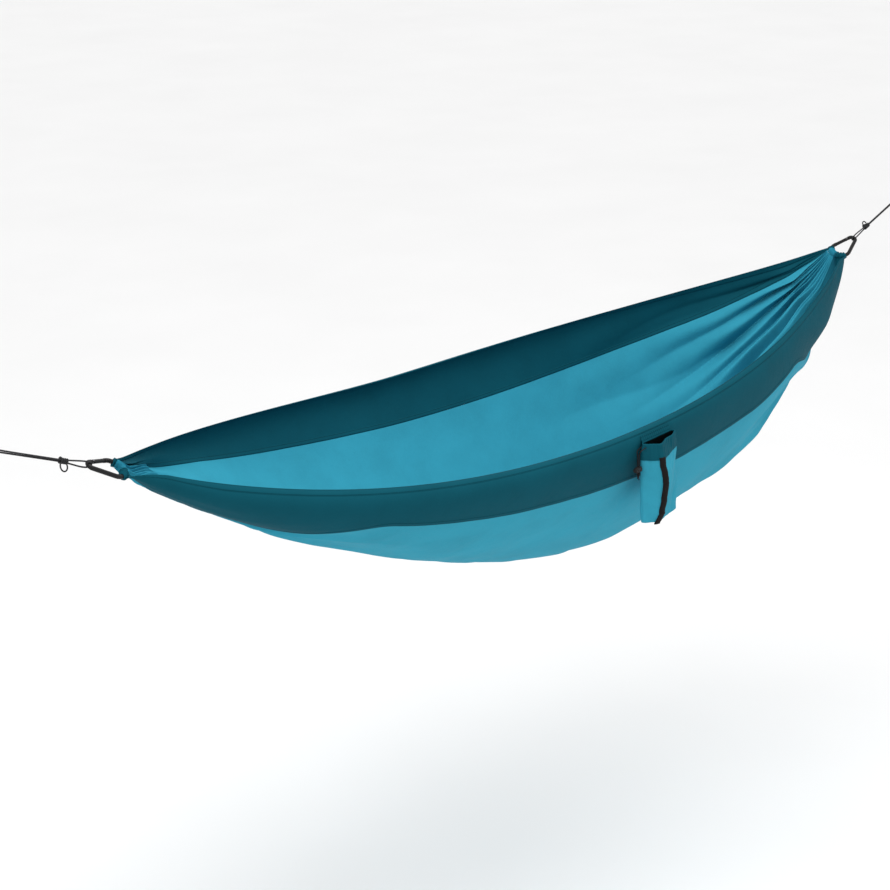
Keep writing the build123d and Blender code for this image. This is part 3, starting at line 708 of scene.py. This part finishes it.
def cloth_band(name, node, middle_side, low, high, thick, material):
    """A folded strip of cloth on the sheet: both faces, rounded at its edges. low and high are metres of
    sheet from the hem or the seam line, shrinking with the gather."""
    points, widths = traced(np.clip(STATIONS, -LAST_STATION, LAST_STATION))
    half_girth = widths[:, -1]
    narrow = np.minimum(1.0, 2 * half_girth / 0.42)
    side, at = middle_side
    drawn = (1 - near_seam_share(STATIONS)) / (1 - CENTRE_SHARE) if side < 0 else np.ones(len(STATIONS))
    rows = 7
    edge = np.array([0.15, 0.75, 1.0, 1.0, 1.0, 0.75, 0.15]) * thick / 2
    offsets = np.linspace(low, high, rows)
    fine = np.linspace(at - 0.10, min(1.0, at + 0.10), 121)
    surface = bed_surface(STATIONS, np.sort(side * fine))
    normal = normals_of(surface)
    if side < 0:
        surface, normal = surface[:, ::-1], normal[:, ::-1]
    top = np.zeros((len(STATIONS), rows, 3))
    bottom = np.zeros_like(top)
    for i in range(len(STATIONS)):
        wanted = np.clip(at + offsets * narrow[i] / (half_girth[i] * drawn[i]), fine[0], 1.0)
        p = np.stack([np.interp(wanted, fine, surface[i, :, c]) for c in range(3)], -1)
        n = unit(np.stack([np.interp(wanted, fine, normal[i, :, c]) for c in range(3)], -1))
        fat = edge * (0.5 + 0.5 * narrow[i])
        top[i], bottom[i] = p + n * fat[:, None], p - n * fat[:, None]
    ring = np.concatenate([top, bottom[:, ::-1]], axis=1)
    u = np.repeat(STATIONS * FLAT_LENGTH / 2, 2 * rows)
    v = np.tile(np.concatenate([offsets - low, (offsets - low)[::-1]]), len(STATIONS))
    faces = grid_faces(len(STATIONS), 2 * rows, wrap=True)
    obj = mesh_object(name, ring.reshape(-1, 3), faces, np.stack([u, v], -1), [material])
    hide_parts(node)
    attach(obj, "bed")
    return obj


centre_cloth = panel("centre_panel_cloth", "centre_panel", -CENTRE_SHARE, CENTRE_SHARE,
                     light_cloth)
side_cloth, bands = {}, {}
for name, side in (("near", -1), ("far", 1)):
    low, high = sorted((side * CENTRE_SHARE, side * 0.999))
    side_cloth[name] = panel(name + "_side_cloth", name + "_side_panel", low, high, dark_cloth)
    seam = cloth_band(name + "_seam_fold", name + "_seam", (side, CENTRE_SHARE), 0.0, SEAM_WIDTH, SEAM_THICK,
                      seam_cloth)
    hem = cloth_band(name + "_hem_fold", name + "_hem", (side, 1.0), -HEM_WIDTH, 0.0, HEM_THICK,
                     near_hem_cloth if side < 0 else hem_cloth)
    bands[name] = [seam, hem]


# ---------------------------------------------------------------- gathered channels
def channel(end):
    """The sheet's end, sewn into a channel and bunched round the carabiner's wide bar."""
    across = np.linspace(-1.0, 1.0, 341)
    centre, radial, normal = sleeve_frame(end, across)
    turns = np.linspace(0, 2 * np.pi, 29)[:-1]
    u = (across + 1) / 2
    drift = 0.60 * wander(u * GATHERS * 0.45, 0 * u, 11 + 7 * (end.towards > 0))
    phase = 2 * np.pi * (GATHERS * u + drift)
    ridge = 2 * np.sqrt(np.sin(phase / 2) ** 2 + 0.012) - 1
    closing = np.minimum(1.0, (1 - np.abs(across)) / 0.05)
    closing = 0.55 + 0.45 * np.sqrt(np.clip(1 - (1 - closing) ** 2, 0, 1))
    rows = []
    for k, turn in enumerate(turns):
        slow = wander(u * 9 + k * 0.11, 0 * u + np.sin(turn), 83)
        radius = (0.0088 + 0.0013 * ridge + 0.0007 * slow) * closing
        rows.append(centre + radius[:, None] * (math.cos(turn) * radial + math.sin(turn) * normal))
    points = np.stack(rows, 1)
    faces = grid_faces(len(across), len(turns), wrap=True)
    at = across[faces[:, 0] // len(turns)]
    dark = (np.abs(at) > CENTRE_SHARE).astype(int)
    around_it, along_it = 0.0095 * turns[None, :], across[:, None] * FLAT_WIDTH / 2
    uv = np.stack(np.broadcast_arrays(around_it, along_it), -1).reshape(-1, 2)
    obj = mesh_object(end.name + "_channel_cloth", points.reshape(-1, 3), faces, uv,
                      [channel_light, channel_dark], dark)
    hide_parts(end.name + "_channel")
    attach(obj, "bed")


for end in ENDS.values():
    channel(end)


# ---------------------------------------------------------------- stuff pouch
class PouchFrame:
    """As in the CAD source: X along the hem, -Y away from the bed, Z up, 0 at the mouth."""

    def __init__(self):
        station = POUCH_AT / HALF
        sample = np.array([station - 0.04, station, station + 0.04])
        edge, _ = plain_bed(sample, np.array([-1.0]))
        along = Vector(edge[2, 0] - edge[0, 0]).normalized()
        up = (Vector((0, 0, 1)) - along * along.z).normalized()
        self.origin = Vector(edge[1, 0]) - up * POUCH_BELOW
        self.x, self.z = along, up
        self.y = up.cross(along)
        points, _ = traced(np.array([station]))
        self.out, self.depth = points[0, :, 0], points[0, :, 1]
        self.hem_out, self.hem_below = self.out[-1], self.depth[-1]

    def back(self, below):
        """How far out the pouch's back stands at a depth below its mouth, clear of the bed."""
        deepest = self.hem_below + POUCH_BELOW + below
        return float(self.out[self.depth <= deepest + 1e-9].max() - self.hem_out + POUCH_CLEARANCE)

    def panel_out(self, below):
        """How far out the bed itself stands at a depth below the mouth."""
        wanted = self.hem_below + POUCH_BELOW + below
        outer = self.out.argmax()
        rising = slice(None, None, -1 if self.depth[-1] < self.depth[outer] else 1)
        return float(np.interp(wanted, self.depth[outer:][rising], self.out[outer:][rising]) - self.hem_out)

    def at(self, x, y, z):
        return self.origin + self.x * x + self.y * y + self.z * z


pouch = PouchFrame()


def outline(width, depth, corner, count):
    """A rounded triangle: its back flat, its front one ridge. count points, from the middle of the back."""
    ends = width / 2 - corner
    corners = [(-ends, -corner), (RIDGE_AT, corner - depth), (ends, -corner)]
    path = []
    for i, (x, y) in enumerate(corners):
        px, py = corners[i - 1]
        nx, ny = corners[(i + 1) % 3]
        first = math.atan2(y - py, x - px) - math.pi / 2
        last = math.atan2(ny - y, nx - x) - math.pi / 2
        while last < first:
            last += 2 * math.pi
        for t in np.linspace(first, last, 12):
            path.append((x + corner * math.cos(t), y + corner * math.sin(t)))
    path = np.array(path)
    path = np.vstack([path, path[:1]])
    lengths = np.concatenate([[0], np.cumsum(np.hypot(*np.diff(path, axis=0).T))])
    start = lengths[np.argmin(np.abs(path[:, 0]) + 10 * np.abs(path[:, 1]))]
    wanted = (start + np.linspace(0, lengths[-1], count, endpoint=False)) % lengths[-1]
    return np.stack([np.interp(wanted, lengths, path[:, i]) for i in (0, 1)], -1)


AROUND = 220            # vertices of each ring of the pouch
BAND_ROWS = 16


def ridge_bow(below):
    """The strap pulls the ridge a little to the right half way down."""
    return 0.0035 * math.sin(math.pi * min(max((below - BAND_HEIGHT) / (POUCH_HEIGHT - BAND_HEIGHT), 0), 1))


def pouch_rows(levels, grow):
    """Rings of the pouch's cloth at depths below its mouth, grown by an offset and wrinkled."""
    rings = []
    for below in levels:
        share = min(max(below / POUCH_HEIGHT, 0), 1)
        width = np.interp(share, POUCH_LEVELS, POUCH_WIDTHS)
        depth = np.interp(share, POUCH_LEVELS, POUCH_DEPTHS)
        ring = outline(width + 2 * grow, depth + 2 * grow, POUCH_CORNER + grow, AROUND)
        ring[:, 1] += grow
        following = np.roll(ring, -1, axis=0) - np.roll(ring, 1, axis=0)
        out = unit(np.stack([following[:, 1], -following[:, 0]], -1))
        centre = ring.mean(0)
        out *= np.sign(((ring - centre) * out).sum(1, keepdims=True))
        p = np.arange(AROUND) / AROUND
        front = smooth(0.0, 0.006, -ring[:, 1] - 0.002)
        puckers = 2 * np.pi * 26 * p + 1.5 * wander(p * 12, share * 3 + 0 * p, 91)
        gathers = 0.0005 * np.cos(puckers) * math.exp(-below / 0.030)
        slump = (0.0026 * wander(p * 9, share * 5 + 0 * p, 92)
                 + 0.0012 * wander(p * 23, share * 11 + 0 * p, 93))
        slump -= 0.0022 * math.sin(math.pi * share) * np.abs(np.sin(3 * np.pi * p))
        ring = ring + out * ((gathers + slump) * front)[:, None]
        ring[:, 0] += ridge_bow(below) * np.exp(-((ring[:, 0] - RIDGE_AT) / 0.022) ** 2) * front
        y = ring[:, 1] - pouch.back(max(below, 0))
        rings.append(np.stack([ring[:, 0], y, np.full(AROUND, -below)], -1))
    return np.array(rings)


def to_world(local):
    """An array of points in the pouch's own axes, in the frame's."""
    origin, x, y, z = (np.array(v) for v in (pouch.origin, pouch.x, pouch.y, pouch.z))
    return origin + local[..., :1] * x + local[..., 1:2] * y + local[..., 2:] * z


def ring_mesh(name, rings, material, close_end):
    """A tube of rings, its last one drawn in to a soft bottom if close_end."""
    rings = list(rings)
    if close_end:
        last = rings[-1]
        middle = last.mean(0)
        for share, drop in ((0.90, 0.0022), (0.72, 0.0040), (0.48, 0.0052), (0.22, 0.0057), (0.03, 0.0058)):
            rings.append(middle + (last - middle) * share - np.array([0, 0, drop]))
    rings = np.array(rings)
    count = rings.shape[0]
    world_points = to_world(rings).reshape(-1, 3)
    faces = grid_faces(count, AROUND, wrap=True)
    u = np.repeat(-rings[:, :, 2].mean(1), AROUND)
    v = np.tile(np.arange(AROUND) / AROUND * 0.27, count)
    return mesh_object(name, world_points, faces, np.stack([u, v], -1), [material])


down = np.linspace(BAND_HEIGHT - 0.002, POUCH_HEIGHT - 0.004, 44)
body_cloth = ring_mesh("pouch_body_cloth", pouch_rows(down, 0.0), pouch_light, True)
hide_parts("pouch_body")
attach(body_cloth, "pouch")

# the mouth band: its lower edge laps the body, its top is rolled over the drawcord
lap = np.linspace(BAND_HEIGHT + 0.003, 0.0, BAND_ROWS)
band_out = pouch_rows(lap, 0.0010)
band_in = pouch_rows(lap[::-1], -0.0016)
for k in range(BAND_ROWS):
    roll = math.exp(-((lap[k] - 0.004) / 0.004) ** 2)
    band_out[k, :, 1] -= 0.0006 * roll
crest = (band_out[-1:] + band_in[:1]) / 2 + np.array([0, 0, 0.0009])
deep = pouch_rows(np.linspace(BAND_HEIGHT, POUCH_HEIGHT - 0.012, 12), -0.0022)
band_rings = np.concatenate([band_out, crest, band_in, deep])
band_cloth = ring_mesh("pouch_band_cloth", band_rings, pouch_dark, False)
# the band's inner rows and the inside of the body take the near-black material: painted shade inside the
# pouch
band_cloth.data.materials.append(painted_inner_shade)
painted_shade_faces = np.arange(len(band_cloth.data.polygons)) // AROUND > len(band_out) + 1
band_cloth.data.polygons.foreach_set("material_index", painted_shade_faces.astype(np.int32))
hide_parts("pouch_mouth_band")
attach(band_cloth, "pouch")


def strap():
    """Flat webbing down the pouch's ridge, its cut end standing out below."""
    levels = np.linspace(BAND_HEIGHT - 0.004, POUCH_HEIGHT + 0.001, 60)
    rings = pouch_rows(np.minimum(levels, POUCH_HEIGHT - 0.002), 0.0008)
    profile = [(-0.5, 0.0), (-0.46, 0.9), (-0.30, 1.0), (0.0, 1.0),
               (0.30, 1.0), (0.46, 0.9), (0.5, 0.0), (0.0, -0.25)]
    width = STRAP_WIDTH * 1.12
    points, uvs = [], []
    for level, ring in zip(levels, rings):
        side, out = np.array([0.94, -0.34, 0.0]), np.array([-0.34, -0.94, 0.0])
        tip = ring[np.argmax(ring @ out)].copy()
        tip[0] += 0.35 * (RIDGE_AT + ridge_bow(level) - tip[0])
        tip[2] = -level
        for x, y in profile:
            sag = -0.0022 * (2 * x) ** 2
            points.append(tip + side * x * width + out * (0.0014 * y + sag + 0.0006))
            uvs.append((level, x * width))
    points = np.array(points)
    count = len(profile)
    faces = [list(f) for f in grid_faces(len(levels), count, wrap=True)]
    faces.append(list(range(count))[::-1])
    faces.append([(len(levels) - 1) * count + k for k in range(count)])
    obj = mesh_object("pouch_strap_webbing", to_world(points), faces, uvs, [strap_black])
    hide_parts("pouch_strap")
    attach(obj, "pouch")


strap()


def sewn_flap():
    """The pouch's back edge, sewn flat to the side panel above the mouth."""
    xs = np.linspace(-POUCH_WIDTHS[0] / 2 + 0.004, POUCH_WIDTHS[0] / 2 - 0.004, 60)
    rows, uvs = [], []
    for k, height in enumerate(np.linspace(0.0, 0.014, 9)):
        lean = smooth(0.0, 0.010, np.array(height))
        out = (1 - lean) * pouch.back(0) + lean * (pouch.panel_out(-height) + 0.0012)
        ripple = 0.0004 * np.sin(xs * 900 + k * 0.3)
        rows.append(np.stack([xs, -out + ripple - 0.0004, np.full_like(xs, height)], -1))
        uvs.append(np.stack([xs, np.full_like(xs, height)], -1))
    points = to_world(np.array(rows)).reshape(-1, 3)
    obj = mesh_object("pouch_sewn_edge", points, grid_faces(9, 60), np.concatenate(uvs), [flap_cloth])
    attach(obj, "bed")


sewn_flap()


# ---------------------------------------------------------------- drawcord and cord lock
def drawcord():
    """The doubled cord from its slot in the band down to the lock, its end knot and two tails."""
    x, y, z = -POUCH_WIDTHS[0] / 2, -pouch.back(0) - DRAWCORD_BACK, -DRAWCORD_BELOW
    end_x, end_z = x - DRAWCORD_OUT, z - DRAWCORD_DROP
    paired = end_z + LOCK_ABOVE_KNOT + LOCK_WIDTH + LOCK_TRAVEL + DRAWCORD
    start = x + CORD_SLOT_DEPTH - DRAWCORD
    straight = 2 * paired - z       # as far below the corner as the corner is below the band
    near = ((start, CORD_MOUTH / 2, z), (end_x, CORD_MOUTH / 2, z), (end_x, CORD_PAIR / 2, paired),
            (end_x, CORD_PAIR / 2, straight), (end_x, CORD_PAIR / 2, end_z))
    far = [(px, -out, pz) for px, out, pz in reversed(near)]
    points = [pouch.at(px, y - out, pz) for px, out, pz in (*near, *far)]
    black = braid("black_drawcord_braid", linear(34, 30, 32), DRAWCORD_LENGTH, DRAWCORD)
    cord = nurbs("drawcord_cord", points, DRAWCORD, black)
    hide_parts("drawcord")
    knot = knot_around("drawcord_end_knot", pouch.at(end_x, y, end_z - 0.0005), pouch.z, pouch.y, pouch.x,
                       2, 0.0052, (0.0030, 0.0022), black, DRAWCORD)
    tail_steps = ((0.0, 0.001, 0.001), (0.001, 0.002, 0.006), (0.002, 0.004, 0.012))     # along, out and down
    for sign in (-1, 1):
        tail = [pouch.at(end_x + along * sign, y + sign * out, end_z - fall)
                for along, out, fall in tail_steps]
        knot.append(nurbs(f"drawcord_tail_{'ab'[sign > 0]}", tail, DRAWCORD, black))
    for piece in [cord, *knot]:
        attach(piece, "pouch")
    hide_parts("drawcord_knot")


drawcord()

# ---------------------------------------------------------------- pieces kept from the CAD model
KEPT = {"hook_steel": hook_black, "pin_steel": pin_steel,
        "spring_steel": spring_steel, "lock_plastic": lock_black}
slots = {item["node"]: item["material_slot"] for item in frame["record"]["subparts"]}
for node, obj in frame["nodes"].items():
    paint = KEPT.get(slots[node])
    if paint is not None:
        obj.data.materials.clear()
        obj.data.materials.append(paint)

low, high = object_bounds()
